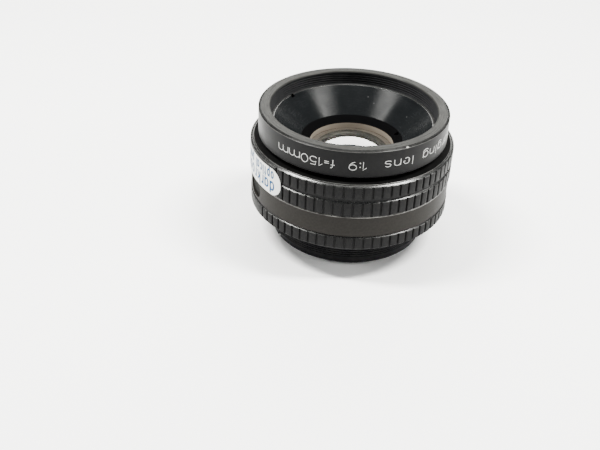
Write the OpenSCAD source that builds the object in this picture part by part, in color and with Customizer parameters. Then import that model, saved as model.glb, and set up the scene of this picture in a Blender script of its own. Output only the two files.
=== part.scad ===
// Barrel-mounted enlarging lens, 150 mm f/9, standing front up.
// The origin is on the optical axis in the plane of the mount's seat, and +Z points to the front.

/* [Outside] */
// Outer radius of the knurled aperture ring
body_r = 31.7; // [31.5:0.05:32]
// Outer radius of the fixed band
band_r = 31.4; // [31:0.05:31.5]
// Outer radius of the engraved front ring
name_r = 29.25; // [28.5:0.05:30]
// Height of the front rim above the seat
rim_z = 33.2; // [32.8:0.1:35]

/* [Mount] */
// Major radius of the mount thread
mount_thread_r = 25; // [25:0.05:25.2]
// Length of the mount thread behind the seat
mount_thread_len = 6.5; // [6:0.5:9]
// Outer radius of the seat flange
flange_r = 29.6; // [29:0.1:31]
// Thickness of the seat flange
flange_t = 1.1; // [1:0.1:1.3]

/* [Front recess] */
// Minor radius of the filter thread
filter_thread_r = 25.6; // [25.5:0.05:26]
// Height of the ledge below the filter thread
ledge_z = 28.9; // [28.5:0.1:29.2]
// Radius where the hood cone starts
cone_top_r = 24.4; // [24:0.1:24.6]

/* [Knurling] */
// Number of grooves in a full turn
knurl_count = 72; // [60:6:90]
// Width of a groove
knurl_gap = 0.7; // [0.4:0.05:0.8]
// Depth of a groove
knurl_depth = 0.45; // [0.3:0.05:0.5]

/* [Aperture] */
// Number of iris blades
blade_count = 10; // [10:1:10]
// Turn of the aperture ring from full opening to the smallest stop, in degrees
ring_travel = 45; // [40:1:45]
// Turn of each blade over the same travel, in degrees
blade_swing = 24.5; // [20:0.5:24.5]
// Radius of the fixed stop, which is the full aperture
stop_r = 8; // [7.5:0.1:8.2]

/* [Sticker] */
// Length of the round-ended sticker around the ring
label_len = 26.1; // [20:0.1:27]
// Height of the round-ended sticker
label_h = 8.9; // [8:0.1:9]

/* [Hidden] */
$fn = 120;
lens_fn = 200;                 // facets of the large spheres that shape the glass
run_gap = 0.05;                // running clearance between turning pieces
over = 1;                      // how far a cutting tool passes a surface

// heights above the seat, from the rear to the front
tail_z = -mount_thread_len - 3;
grip_top_z = 5.8;
band_low_z = grip_top_z + run_gap;
band_top_z = 12.9;
ring_low_z = band_top_z + run_gap;
shoulder_z = 23.3;             // outer part of the aperture ring's top
name_low_z = 24.4;
ring_top_z = name_low_z - run_gap;
web_top_z = 25.2;

// main barrel
barrel_r = 25.2;               // outside, the track of the aperture ring
barrel_bore_r = 21;            // bore that the iris and the front cell sit in
tail_r = 22.96;                // tail that turns in the mount sleeve
tail_bore_r = 19.5;
iris_seat_z = 5.9;
cell_seat_z = 5.1;
iris_seat_r = 16;

// front ring and hood cone
cone_seat_r = 25.2;            // outside of the hood cone, in the bore below the filter thread
notch_angle = 146;             // spanner slots in the cone's ledge

// sleeve and rings of the mount
sleeve_bore_r = tail_r + 0.04;
hub_r = 28;
grip_r = 31.6;
grub_r = 0.8;
grub_z = 3.2;
grub_angles = [47.5, 132.5];
lock_ring_t = 2;
lock_ring_r = 24.4;
slot_w = 1.4;                  // width of a spanner slot

// knurled sectors, counterclockwise from +X
pitch = 360 / knurl_count;
ring_knurl_start = 226;        // the smooth sector ends here
ring_knurl_end = 118 + 360;    // and starts again here
ring_phase = 3;                // first groove after a whole pitch
grip_knurl_start = 211;
grip_knurl_end = 188 + 360;
groove_depth = knurl_depth + 0.05; // the turned groove is a little deeper than the knurl
row_top_z = 22.75;             // start of the chamfer above the aperture ring's knurl
row_chamfer = 0.4;
lip_in = 1;                    // how far the aperture ring's lip is set back
ring_hub_r = 27.6;             // hub of the aperture ring that runs against the front ring
neck_low_z = 17.95;            // groove that divides the aperture ring's knurl into two rows
neck_high_z = 18.9;
grip_low_chamfer = 0.75;
grip_top_chamfer = 0.4;

// window and scale drum
window_len = 8.8;
window_h = 5.9;
window_angle = 203;
window_z = 9.6;
drum_in_r = 27;
drum_out_r = 28.2;
drum_low_z = 7.5;
drum_top_z = 14.45;
drum_track_in_r = 26.5;
drum_track_out_r = 28.6;
drum_track_z = 7.3;
index_angle = 172;
index_r = 0.6;
index_z = 11.5;

// iris
iris_z = 7.5;                  // plane of symmetry of the optics
blade_t = 0.1;
blade_step = 0.15;
blade_low_z = 6.75;
blade_in_r = stop_r + 0.3;     // curved inner edge of a blade, concentric with the axis when open
blade_out_r = 14.4;
blade_root = -8;               // start and end of a blade's band, in degrees from its pivot
blade_tip = 118;
pivot_r = 16;                  // distance of a blade's pivot from the axis
lever = 6;                     // from the pivot pin to the drive pin
pin_r = 0.5;
plate_z = iris_seat_z + 0.8;   // top of the base plate
web_low_z = 8.3;               // the cam web of the drive ring
web_high_z = 9.3;
rim_in_r = 19.4;               // sleeve that joins the cam web to the coupling screw
rim_top_z = 17.6;
cam_r = pin_r + run_gap;       // half width of a cam slot
cam_step = 3;                  // degrees of ring turn between points of a cam

// coupling screw and click stop
screw_angle = 122;
screw_z = 16.3;
screw_r = 1;
screw_head_r = 1.9;
screw_head_from = 29.5;
click_angle = 60;
click_z = 20.5;
click_pocket_r = 22.3;         // floor of the pocket
ball_r = 0.8;
coil_r = 0.45;                 // mean radius of the spring
wire_r = 0.12;
coil_pitch = 0.36;
stop_numbers = [9, 11, 16, 22, 32, 45];

// glass: apex height and radius of curvature of each surface of the front group
outer_r = 14;                  // rim radius of the outer cemented pair
inner_r = 11;                  // rim radius of the meniscus
apex = [21.9, 16, 15.1, 13.2, 11.5];
curve = [28, 90, 60, 26, 22];
pair_low_z = 13.78;
meniscus_low_z = 9.9;
step_z = 11.6;                 // step in the cell between its two bores
seat_z = 18.15;                  // where the retaining ring bears on the glass
cell_top_z = 21;
cell_low_z = web_high_z + run_gap;
cell_neck_r = 19.3;
cell_neck_z = 17.75;
retainer_r = 15.9;
retainer_in_r = 13.2;
retainer_top_z = 22.1;

// ---- functions ----

// Turn of a blade when the ring has turned by t degrees
function blade_turn(t) = blade_swing * t / ring_travel;

// Place of the first blade's drive pin, fixed axes, when the ring has turned by t degrees
function drive_pin(t) =
    let (a = -90 - blade_swing / 2 + blade_turn(t))
    [pivot_r + lever * cos(a), lever * sin(a)];

function turn(p, a) = [p[0] * cos(a) - p[1] * sin(a), p[0] * sin(a) + p[1] * cos(a)];

// The same place seen from the turning ring, which makes the centre line of the cam slot
function cam_point(t) = turn(drive_pin(t), -t);

// Unit normal of the cam's centre line
function cam_normal(t) =
    let (d = cam_point(t + 0.1) - cam_point(t - 0.1))
    [-d[1], d[0]] / norm(d);

// Ring turn at which the blades leave an opening for stop number n
function stop_turn(n) =
    let (r = stop_r * stop_numbers[0] / n)
    n == stop_numbers[0] ? 0 : 2 * asin((blade_in_r - r) / (2 * pivot_r)) * ring_travel / blade_swing;

// ---- shared shapes ----

// A piece turned about the optical axis from its [radius, height] outline
module turned(outline) {
    rotate_extrude() polygon(outline);
}

module ring(in_r, out_r, low_z, high_z) {
    turned([[in_r, low_z], [out_r, low_z], [out_r, high_z], [in_r, high_z]]);
}

// A ring that covers only the stated sector
module arc_ring(in_r, out_r, low_z, high_z, from, to) {
    rotate([0, 0, from]) translate([0, 0, low_z])
        rotate_extrude(angle = to - from)
            translate([in_r, 0]) square([out_r - in_r, high_z - low_z]);
}

// A round pin or drill that points away from the axis
module radial_rod(r, from_r, to_r, angle, z) {
    rotate([0, 0, angle]) translate([from_r, 0, z])
        rotate([0, 90, 0]) cylinder(r = r, h = to_r - from_r, $fn = 48);
}

// A rod with an obround section, long way around the ring, that points away from the axis
module radial_obround(length, height, from_r, to_r, angle, z) {
    shift = (length - height) / 2;
    rotate([0, 0, angle]) translate([from_r, 0, z]) {
        for (y = [-shift, shift]) translate([0, y, 0])
            rotate([0, 90, 0]) cylinder(r = height / 2, h = to_r - from_r, $fn = 48);
        translate([0, -shift, -height / 2]) cube([to_r - from_r, 2 * shift, height]);
    }
}

// Cutters for the knurl between two angles
module knurl(r, low_z, high_z, from, to, phase) {
    first = ceil((from - phase) / pitch);
    last = floor((to - phase) / pitch);
    for (i = [first : last])
        rotate([0, 0, i * pitch + phase])
            translate([r - knurl_depth, -knurl_gap / 2, low_z])
                cube([knurl_depth + over, knurl_gap, high_z - low_z]);
}

// Two opposite slots for a pin spanner
module spanner_slots(from_r, to_r, low_z, high_z, angle) {
    for (a = [angle, angle + 180])
        rotate([0, 0, a]) translate([from_r, -slot_w / 2, low_z])
            cube([to_r - from_r, slot_w, high_z - low_z]);
}

// Carries a piece of the front group to its twin behind the iris
module behind_iris() {
    translate([0, 0, 2 * iris_z]) mirror([0, 0, 1]) children();
}

// The ball of surface i, whose apex is on the axis; side is 1 when its centre is in front
module surface_ball(i, side) {
    translate([0, 0, apex[i] + side * curve[i]]) sphere(r = curve[i], $fn = lens_fn);
}

// ---- mount ----

module mount_sleeve() {
    color("#1b1b1c") turned([
        [sleeve_bore_r, -mount_thread_len],
        [mount_thread_r - 0.3, -mount_thread_len],
        [mount_thread_r, -mount_thread_len + 0.3],
        [mount_thread_r, 0],
        [flange_r, 0],
        [flange_r, flange_t],
        [hub_r, flange_t],
        [hub_r, grip_top_z],
        [sleeve_bore_r, grip_top_z]
    ]);
}

module grip_ring() {
    color("#232324") difference() {
        turned([
            [hub_r, flange_t],
            [grip_r - grip_low_chamfer, flange_t],
            [grip_r, flange_t + grip_low_chamfer],
            [grip_r, grip_top_z - grip_top_chamfer],
            [grip_r - grip_top_chamfer, grip_top_z],
            [hub_r, grip_top_z]
        ]);
        knurl(grip_r, flange_t - over, grip_top_z + over, grip_knurl_start, grip_knurl_end, 0);
        for (a = grub_angles) radial_rod(grub_r, hub_r - over, grip_r + over, a, grub_z);
    }
}

module grip_ring_screws() {
    color("#4a4a4c") for (a = grub_angles) difference() {
        radial_rod(grub_r, hub_r, grip_r - 0.9, a, grub_z);
        rotate([0, 0, a]) translate([grip_r - 1.4, -0.15, grub_z - over]) cube([over, 0.3, 2 * over]);
    }
}

// ---- barrel ----

module main_barrel() {
    color("#2a2a2b") difference() {
        turned([
            [tail_bore_r, tail_z],
            [tail_r, tail_z],
            [tail_r, band_low_z],
            [barrel_r, band_low_z],
            [barrel_r, name_low_z],
            [barrel_bore_r, name_low_z],
            [barrel_bore_r, iris_seat_z],
            [iris_seat_r, iris_seat_z],
            [iris_seat_r, cell_seat_z],
            [tail_bore_r, cell_seat_z]
        ]);
        // the coupling screw travels in this slot
        arc_ring(barrel_bore_r - over, barrel_r + over, screw_z - 1.1, screw_z + 1.1,
            screw_angle - 4, screw_angle + ring_travel + 4);
        // pocket of the click ball
        radial_rod(ball_r + run_gap, click_pocket_r, barrel_r + over, click_angle, click_z);
    }
}

module fixed_band() {
    color("#3a3634") difference() {
        turned([
            [barrel_r, band_low_z],
            [band_r - 0.2, band_low_z],
            [band_r, band_low_z + 0.2],
            [band_r, band_top_z - 0.2],
            [band_r - 0.2, band_top_z],
            [drum_track_out_r, band_top_z],
            [drum_track_out_r, drum_track_z],
            [drum_track_in_r, drum_track_z],
            [drum_track_in_r, band_top_z],
            [barrel_r, band_top_z]
        ]);
        radial_obround(window_len, window_h, drum_track_out_r - 1, band_r + over, window_angle, window_z);
        radial_rod(index_r, band_r - 0.6, band_r + over, index_angle, index_z);
    }
}

module window() {
    color("#101012") radial_obround(window_len, window_h, 28.8, band_r - 0.6, window_angle, window_z);
}

module index_mark() {
    color("white") radial_rod(index_r, band_r - 0.6, band_r - 0.03, index_angle, index_z);
}

module barrel_lock_ring() {
    high_z = -mount_thread_len - run_gap;
    low_z = high_z - lock_ring_t;
    color("#2a2a2b") difference() {
        ring(tail_r, lock_ring_r, low_z, high_z);
        spanner_slots(tail_r - over, lock_ring_r + over, low_z - over, low_z + 0.9, 30);
    }
}

module name_ring() {
    color("#1d1d1e") turned([
        [barrel_bore_r + 1, name_low_z],
        [name_r - 0.55, name_low_z],
        [name_r, name_low_z + 0.5],
        [name_r, rim_z - 0.35],
        [name_r - 0.85, rim_z],
        [filter_thread_r + 0.3, rim_z],
        [filter_thread_r, rim_z - 0.3],
        [filter_thread_r, ledge_z],
        [cone_seat_r, ledge_z],
        [cone_seat_r, web_top_z],
        [barrel_bore_r + 1, web_top_z]
    ]);
}

module hood_cone() {
    color("#202021") difference() {
        turned([
            [retainer_r, cell_top_z],
            [retainer_r, retainer_top_z],
            [cone_top_r, ledge_z],
            [cone_seat_r, ledge_z],
            [cone_seat_r, web_top_z],
            [barrel_bore_r + 1, web_top_z],
            [barrel_bore_r + 1, name_low_z],
            [barrel_bore_r - 0.1, name_low_z],
            [barrel_bore_r - 0.1, name_low_z - 0.6],
            [retainer_r + 1.5, cell_top_z]
        ]);
        spanner_slots(cone_top_r - 0.6, cone_seat_r + over, ledge_z - 1.1, ledge_z + over, notch_angle);
    }
}

// ---- front and rear groups ----

// Bore of both cells, from the lip behind the meniscus to the retaining ring's thread
function cell_bore() = [
    [retainer_r, cell_top_z],
    [retainer_r, seat_z],
    [outer_r, seat_z],
    [outer_r, step_z],
    [inner_r, step_z],
    [inner_r, meniscus_low_z],
    [inner_r - 1.2, meniscus_low_z],
    [inner_r - 1.2, cell_low_z]
];

module front_cell() {
    color("#303032") turned(concat(cell_bore(), [
        [cell_neck_r, cell_low_z],
        [cell_neck_r, cell_neck_z],
        [barrel_bore_r, cell_neck_z],
        [barrel_bore_r, cell_top_z]
    ]));
}

module rear_cell() {
    neck_z = 2 * iris_z - cell_seat_z;
    color("#303032") behind_iris() turned(concat(cell_bore(), [
        [iris_seat_r - 0.1, cell_low_z],
        [iris_seat_r - 0.1, neck_z],
        [tail_bore_r, neck_z],
        [tail_bore_r, cell_top_z]
    ]));
}

module retaining_ring() {
    color("#161617") difference() {
        turned([
            [retainer_in_r, seat_z + 0.48],
            [outer_r + 0.05, seat_z],
            [retainer_r, seat_z],
            [retainer_r, retainer_top_z],
            [retainer_in_r, retainer_top_z - 1.6]
        ]);
        spanner_slots(retainer_in_r + 1.3, retainer_r + over, retainer_top_z - 1.2, retainer_top_z + over, 20);
    }
}

module outer_element() {
    color("#8fa0a8", 0.4) intersection() {
        translate([0, 0, pair_low_z]) cylinder(r = outer_r, h = 10);
        surface_ball(0, -1);
        surface_ball(1, 1);
    }
}

module inner_crown() {
    color("#8fa0a8", 0.4) difference() {
        translate([0, 0, pair_low_z]) cylinder(r = outer_r, h = seat_z - pair_low_z);
        surface_ball(1, 1);
        surface_ball(2, -1);
    }
}

module spacer() {
    color("#2a2a2b") turned([
        [inner_r - 1, step_z],
        [outer_r, step_z],
        [outer_r, pair_low_z],
        [outer_r - 1.45, pair_low_z]
    ]);
}

module meniscus() {
    color("#8fa0a8", 0.4) difference() {
        intersection() {
            translate([0, 0, meniscus_low_z]) cylinder(r = inner_r, h = 10);
            surface_ball(3, -1);
        }
        surface_ball(4, -1);
    }
}

module front_retaining_ring() { retaining_ring(); }
module front_outer_element() { outer_element(); }
module front_inner_crown() { inner_crown(); }
module front_spacer() { spacer(); }
module front_meniscus() { meniscus(); }
module rear_retaining_ring() { behind_iris() retaining_ring(); }
module rear_outer_element() { behind_iris() outer_element(); }
module rear_inner_crown() { behind_iris() inner_crown(); }
module rear_spacer() { behind_iris() spacer(); }
module rear_meniscus() { behind_iris() meniscus(); }

// ---- click stop ----

module click_ball() {
    color("silver") rotate([0, 0, click_angle])
        translate([barrel_r - ball_r, 0, click_z]) sphere(r = ball_r, $fn = 48);
}

// Four coils of the spring behind the ball, drawn as closed turns
module click_spring() {
    first_coil_r = click_pocket_r + wire_r + 0.02;
    color("silver") rotate([0, 0, click_angle]) translate([first_coil_r, 0, click_z]) rotate([0, 90, 0])
        for (i = [0 : 3]) translate([0, 0, i * coil_pitch])
            rotate_extrude($fn = 48) translate([coil_r, 0]) circle(r = wire_r, $fn = 16);
}

// ---- aperture ring ----

module aperture_ring() {
    color("#232324") difference() {
        turned([
            [barrel_r + run_gap, ring_low_z],
            [drum_in_r, ring_low_z],
            [drum_in_r, drum_top_z],
            [drum_out_r, drum_top_z],
            [drum_out_r, ring_low_z],
            [body_r - 0.3, ring_low_z],
            [body_r, ring_low_z + 0.3],
            [body_r, row_top_z],
            [body_r - groove_depth, row_top_z + row_chamfer],
            [body_r - 0.75, row_top_z + 0.1],
            [body_r - lip_in, row_top_z + 0.3],
            [body_r - lip_in, shoulder_z],
            [ring_hub_r, shoulder_z],
            [ring_hub_r, ring_top_z],
            [barrel_r + run_gap, ring_top_z]
        ]);
        knurl(body_r, ring_low_z - over, row_top_z + row_chamfer + over,
            ring_knurl_start, ring_knurl_end, ring_phase);
        // groove between the two rows, with a chamfer below it
        rotate([0, 0, ring_knurl_start]) rotate_extrude(angle = ring_knurl_end - ring_knurl_start) polygon([
            [body_r - groove_depth, neck_low_z],
            [body_r + over, neck_low_z - groove_depth - over],
            [body_r + over, neck_high_z],
            [body_r - groove_depth, neck_high_z]
        ]);
        radial_rod(screw_r, barrel_r - over, body_r, screw_angle, screw_z);
        radial_rod(screw_head_r, screw_head_from, body_r + over, screw_angle, screw_z);
        // notches that the click ball drops into
        for (n = stop_numbers)
            rotate([0, 0, click_angle - stop_turn(n)])
                translate([barrel_r, 0, click_z - 1]) cylinder(r = 0.4, h = 2, $fn = 32);
    }
}

module scale_drum() {
    color("#141415") ring(drum_in_r, drum_out_r, drum_low_z, drum_top_z);
}

module coupling_screw() {
    color("#3c3c3e") difference() {
        union() {
            radial_rod(screw_r, rim_in_r + 0.1, screw_head_from + 0.1, screw_angle, screw_z);
            radial_rod(screw_head_r, screw_head_from, body_r - 0.7, screw_angle, screw_z);
        }
        rotate([0, 0, screw_angle]) translate([body_r - 1.2, -0.25, screw_z - screw_head_r - over])
            cube([over, 0.5, 2 * screw_head_r + 2 * over]);
    }
}

// One cam slot, centred on the path that the drive pin follows in the turning ring
module cam_slot() {
    turns = [-0.5, for (t = [cam_step : cam_step : ring_travel - cam_step]) t, ring_travel + 0.5];
    outline = concat(
        [for (t = turns) cam_point(t) + cam_r * cam_normal(t)],
        [for (i = [len(turns) - 1 : -1 : 0]) cam_point(turns[i]) - cam_r * cam_normal(turns[i])]
    );
    translate([0, 0, web_low_z - over]) {
        linear_extrude(web_high_z - web_low_z + 2 * over) polygon(outline);
        for (t = [turns[0], turns[len(turns) - 1]])
            translate(cam_point(t)) cylinder(r = cam_r, h = web_high_z - web_low_z + 2 * over, $fn = 32);
    }
}

module iris_drive_ring() {
    color("#5b5347") difference() {
        turned([
            [stop_r + 1.4, web_low_z],
            [barrel_bore_r - run_gap, web_low_z],
            [barrel_bore_r - run_gap, rim_top_z],
            [rim_in_r, rim_top_z],
            [rim_in_r, web_high_z],
            [stop_r + 1.4, web_high_z]
        ]);
        for (i = [0 : blade_count - 1]) rotate([0, 0, i * 360 / blade_count]) cam_slot();
        radial_rod(screw_r, rim_in_r - over, barrel_bore_r, screw_angle, screw_z);
    }
}

// Round-ended sticker bent around the ring's smooth sector
module shop_label() {
    label_angle = 207.3;
    label_z = 17.45;
    color("white") intersection() {
        ring(body_r, body_r + 0.1, label_z - label_h, label_z + label_h);
        radial_obround(label_len, label_h, body_r - 8, body_r + 4, label_angle, label_z);
    }
}

// ---- iris ----

module iris_base_plate() {
    color("#4d4d4f") difference() {
        turned([
            [stop_r, iris_seat_z],
            [barrel_bore_r, iris_seat_z],
            [barrel_bore_r, web_low_z - run_gap],
            [barrel_bore_r - 1.1, web_low_z - run_gap],
            [barrel_bore_r - 1.1, plate_z],
            [stop_r, plate_z]
        ]);
        for (i = [0 : blade_count - 1]) rotate([0, 0, i * 360 / blade_count])
            translate([pivot_r, 0, iris_seat_z - over])
                cylinder(r = pin_r + 0.03, h = plate_z - iris_seat_z + 2 * over, $fn = 32);
    }
}

// Crescent blade k, counted from 0, with its pivot pin below and its drive pin above
module iris_blade(k) {
    low_z = blade_low_z + k * blade_step;
    pin = drive_pin(0);
    tip_r = (blade_out_r - blade_in_r) / 2;
    color("#3b3f45") rotate([0, 0, k * 360 / blade_count]) {
        arc_ring(blade_in_r, blade_out_r, low_z, low_z + blade_t, blade_root, blade_tip);
        rotate([0, 0, blade_tip]) translate([blade_in_r + tip_r, 0, low_z])
            cylinder(r = tip_r, h = blade_t, $fn = 48);
        translate([blade_out_r - 2, -1.5, low_z]) cube([pivot_r - blade_out_r + 2, 3, blade_t]);
        translate([pivot_r, 0, low_z]) {
            cylinder(r = 1.5, h = blade_t, $fn = 32);
            rotate([0, 0, -90 - blade_swing / 2]) translate([0, -1.1, 0]) cube([lever, 2.2, blade_t]);
        }
        translate([pin[0], pin[1], low_z]) cylinder(r = 1.1, h = blade_t, $fn = 32);
        translate([pivot_r, 0, iris_seat_z + run_gap])
            cylinder(r = pin_r, h = low_z + blade_t - iris_seat_z - run_gap, $fn = 32);
        translate([pin[0], pin[1], low_z])
            cylinder(r = pin_r, h = web_high_z - 0.1 - low_z, $fn = 32);
    }
}

mount_sleeve();
grip_ring();
grip_ring_screws();
main_barrel();
fixed_band();
window();
index_mark();
barrel_lock_ring();
name_ring();
hood_cone();
front_cell();
front_retaining_ring();
front_outer_element();
front_inner_crown();
front_spacer();
front_meniscus();
iris_base_plate();
rear_cell();
rear_retaining_ring();
rear_outer_element();
rear_inner_crown();
rear_spacer();
rear_meniscus();
click_ball();
click_spring();
aperture_ring();
scale_drum();
coupling_screw();
iris_drive_ring();
shop_label();
iris_blade(0);  // iris_blade_01
iris_blade(1);  // iris_blade_02
iris_blade(2);  // iris_blade_03
iris_blade(3);  // iris_blade_04
iris_blade(4);  // iris_blade_05
iris_blade(5);  // iris_blade_06
iris_blade(6);  // iris_blade_07
iris_blade(7);  // iris_blade_08
iris_blade(8);  // iris_blade_09
iris_blade(9);  // iris_blade_10
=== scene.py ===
"""Looks of the enlarging lens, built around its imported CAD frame. Metres, +Z towards its front."""
import math

import bmesh
import bpy
from mathutils import Matrix, Vector


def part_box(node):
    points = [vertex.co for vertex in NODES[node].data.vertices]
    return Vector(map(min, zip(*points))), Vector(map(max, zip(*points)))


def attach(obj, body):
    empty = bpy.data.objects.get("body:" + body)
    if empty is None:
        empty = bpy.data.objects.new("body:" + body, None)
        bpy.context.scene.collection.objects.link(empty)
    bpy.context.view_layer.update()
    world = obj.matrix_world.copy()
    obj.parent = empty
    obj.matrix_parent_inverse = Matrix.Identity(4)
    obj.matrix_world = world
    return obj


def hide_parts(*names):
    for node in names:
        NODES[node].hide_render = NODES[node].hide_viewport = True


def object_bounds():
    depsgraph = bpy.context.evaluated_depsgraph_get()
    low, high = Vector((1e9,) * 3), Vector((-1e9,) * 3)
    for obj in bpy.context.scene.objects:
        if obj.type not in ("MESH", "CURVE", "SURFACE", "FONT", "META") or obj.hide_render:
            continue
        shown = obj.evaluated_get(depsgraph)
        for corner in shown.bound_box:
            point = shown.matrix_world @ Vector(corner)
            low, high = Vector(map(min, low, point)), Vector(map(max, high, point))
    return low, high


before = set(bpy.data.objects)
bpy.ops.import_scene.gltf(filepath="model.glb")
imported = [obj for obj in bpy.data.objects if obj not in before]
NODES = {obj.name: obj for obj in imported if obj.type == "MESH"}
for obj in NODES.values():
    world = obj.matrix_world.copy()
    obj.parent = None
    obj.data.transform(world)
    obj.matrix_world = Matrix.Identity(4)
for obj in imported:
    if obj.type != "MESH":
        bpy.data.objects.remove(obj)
cad_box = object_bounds()

MM = 0.001
TAU = 2 * math.pi

# ---- sizes read from the frame ----

RIM_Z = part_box("name_ring")[1].z
NAME_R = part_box("name_ring")[1].x
NAME_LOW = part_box("name_ring")[0].z
RING_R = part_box("aperture_ring")[1].x
RING_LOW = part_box("aperture_ring")[0].z
RING_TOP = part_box("aperture_ring")[1].z
BAND_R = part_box("fixed_band")[1].x
BAND_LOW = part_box("fixed_band")[0].z
BAND_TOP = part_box("fixed_band")[1].z
GRIP_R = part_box("grip_ring")[1].x
GRIP_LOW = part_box("grip_ring")[0].z
GRIP_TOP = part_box("grip_ring")[1].z
FLANGE_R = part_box("mount_sleeve")[1].x
NECK_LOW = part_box("mount_sleeve")[0].z
LEDGE_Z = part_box("hood_cone")[1].z
HOOD_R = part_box("hood_cone")[1].x
RETAINER_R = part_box("front_retaining_ring")[1].x
RETAINER_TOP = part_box("front_retaining_ring")[1].z
RETAINER_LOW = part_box("front_retaining_ring")[0].z
LABEL_LOW, LABEL_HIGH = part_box("shop_label")
GLASS_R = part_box("front_outer_element")[1].x

# ---- sizes of the design ----

THREAD_PITCH = 0.75 * MM
THREAD_DEPTH = 0.34 * MM
FILTER_R = 25.6 * MM           # crest of the filter thread
MOUNT_R = 25.0 * MM            # crest of the mount thread
KNURL_COUNT = 72
KNURL_GAP = 0.56 * MM
KNURL_DEPTH = 0.5 * MM
RING_KNURL = (226, 478)        # knurled sector of the aperture ring, degrees
RING_PHASE = 3                 # turn of its first groove, degrees
GRIP_KNURL = (211, 548)        # the same two for the grip ring
GRIP_PHASE = 0
ROW_TOP = 22.75 * MM           # upper chamfer of the aperture ring's knurl
GROOVE_LOW = 17.95 * MM        # groove between its two rows
GROOVE_TOP = 18.9 * MM
SHOULDER_Z = 23.3 * MM
HUB_R = 27.6 * MM
WINDOW_ANGLE = 203
WINDOW_LENGTH = 8.8 * MM
WINDOW_HEIGHT = 5.9 * MM
WINDOW_Z = 9.6 * MM
SCREW_ANGLE = 122
SCREW_Z = 16.3 * MM
SCREW_HEAD_R = 1.9 * MM
GRUB_ANGLES = (47.5, 132.5)
GRUB_R = 0.8 * MM
GRUB_Z = 3.2 * MM
INDEX_ANGLE = 172
INDEX_R = 0.6 * MM
INDEX_Z = 11.5 * MM
LABEL_ANGLE = 207.3
LABEL_LENGTH = 26.8 * MM
STOP_TURNS = ((9, 0.0), (11, 11.56), (16, 25.05), (22, 33.25), (45, 44.4))  # number, turn in degrees
STOP_TEXT_Z = 20.6 * MM        # baseline of the stop numbers on the aperture ring
DRUM_TEXT_Z = 10.3 * MM        # and on the drum behind the window
DRUM_TEXT_R = 28.2 * MM
SPANNER_HALF = 0.7 * MM        # half the width of a spanner notch or slot
NOTCH_ANGLES = (146, 326)      # spanner notches of the hood cone
SLOT_ANGLES = (20, 200)        # spanner slots of the retaining rings
CONE_TOP_R = 24.4 * MM
RETAINER_IN_R = 13.2 * MM
IRIS_Z = 7.5 * MM              # the rear glass and its retaining ring mirror the front ones about this height
NICK_ANGLE = 303               # small bright nick on the rim's bevel
CONE_SPECKS = ((78, 21.4 * MM), (71, 19.9 * MM), (31, 19.9 * MM))           # degree and radius
PAIR = ((21.9 * MM, 28 * MM, GLASS_R), (15.1 * MM, 60 * MM, 12.5 * MM))     # as lens_solid takes them
MENISCUS = ((13.2 * MM, 26 * MM, 11 * MM), (11.5 * MM, 22 * MM, 8.2 * MM))
MENISCUS_R = 11 * MM


# ---- camera, light and floor ----

def make_camera():
    """A camera above the front of the lens, looking down at it, a little rolled."""
    lens_mm, sensor_mm = 48.08, 36.0
    place = Vector((0, -0.22398, RIM_Z + 0.10711))
    pan, tilt, roll = math.radians(-3.92), math.radians(34.24), math.radians(1.89)
    forward = Vector((math.sin(pan) * math.cos(tilt), math.cos(pan) * math.cos(tilt), -math.sin(tilt)))
    level = forward.cross(Vector((0, 0, 1))).normalized()
    upright = level.cross(forward)
    right = math.cos(roll) * level + math.sin(roll) * upright
    up = right.cross(forward)
    data = bpy.data.cameras.new("camera")
    data.lens = lens_mm
    data.sensor_width = sensor_mm
    data.clip_start = 0.005
    camera = bpy.data.objects.new("camera", data)
    camera.matrix_world = Matrix((
        (right.x, up.x, -forward.x, place.x),
        (right.y, up.y, -forward.y, place.y),
        (right.z, up.z, -forward.z, place.z),
        (0, 0, 0, 1),
    ))
    bpy.context.scene.collection.objects.link(camera)
    bpy.context.scene.camera = camera


def softbox(name, place, aim, size, power):
    """A rectangular studio light at place, turned towards aim."""
    data = bpy.data.lights.new(name, "AREA")
    data.shape = "RECTANGLE"
    data.size, data.size_y = size
    data.energy = power
    data.color = (1.0, 0.995, 0.96)
    light = bpy.data.objects.new(name, data)
    light.location = place
    light.rotation_euler = (Vector(aim) - Vector(place)).to_track_quat("-Z", "Y").to_euler()
    bpy.context.scene.collection.objects.link(light)


def make_light():
    """A wide softbox behind the lens, a small one overhead, two on each side, and a dim pale room."""
    aim = (0, 0, RIM_Z)
    softbox("softbox_back", (0.0, 0.54, 0.37), aim, (0.60, 0.26), 5.4)
    softbox("softbox_top", (0.0, 0.05, 0.65), aim, (0.20, 0.12), 1.2)
    softbox("softbox_left", (-0.30, 0.0, 0.56), aim, (0.065, 0.24), 12.0)
    softbox("softbox_right", (0.30, 0.0, 0.56), aim, (0.065, 0.24), 12.0)
    softbox("softbox_side_left", (-0.62, -0.06, 0.20), aim, (0.30, 0.26), 3.0)
    softbox("softbox_side_right", (0.62, -0.06, 0.20), aim, (0.30, 0.26), 3.0)
    world = bpy.data.worlds.new("room")
    world.use_nodes = True
    background = world.node_tree.nodes["Background"]
    background.inputs["Color"].default_value = (0.92, 0.98, 1.0, 1)
    background.inputs["Strength"].default_value = 0.25
    bpy.context.scene.world = world


def make_floor():
    size = 3.0
    mesh = bpy.data.meshes.new("floor")
    corners = [(-size, -size, 0), (size, -size, 0), (size, size, 0), (-size, size, 0)]
    mesh.from_pydata(corners, [], [(0, 1, 2, 3)])
    floor = bpy.data.objects.new("floor", mesh)
    floor.location.z = cad_box[0][2]
    bpy.context.scene.collection.objects.link(floor)
    material = new_material("floor_paint")
    shader = shader_of(material)
    shader.inputs["Base Color"].default_value = (0.96, 0.96, 0.96, 1)
    shader.inputs["Roughness"].default_value = 0.8
    mesh.materials.append(material)


# ---- material helpers ----

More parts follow.
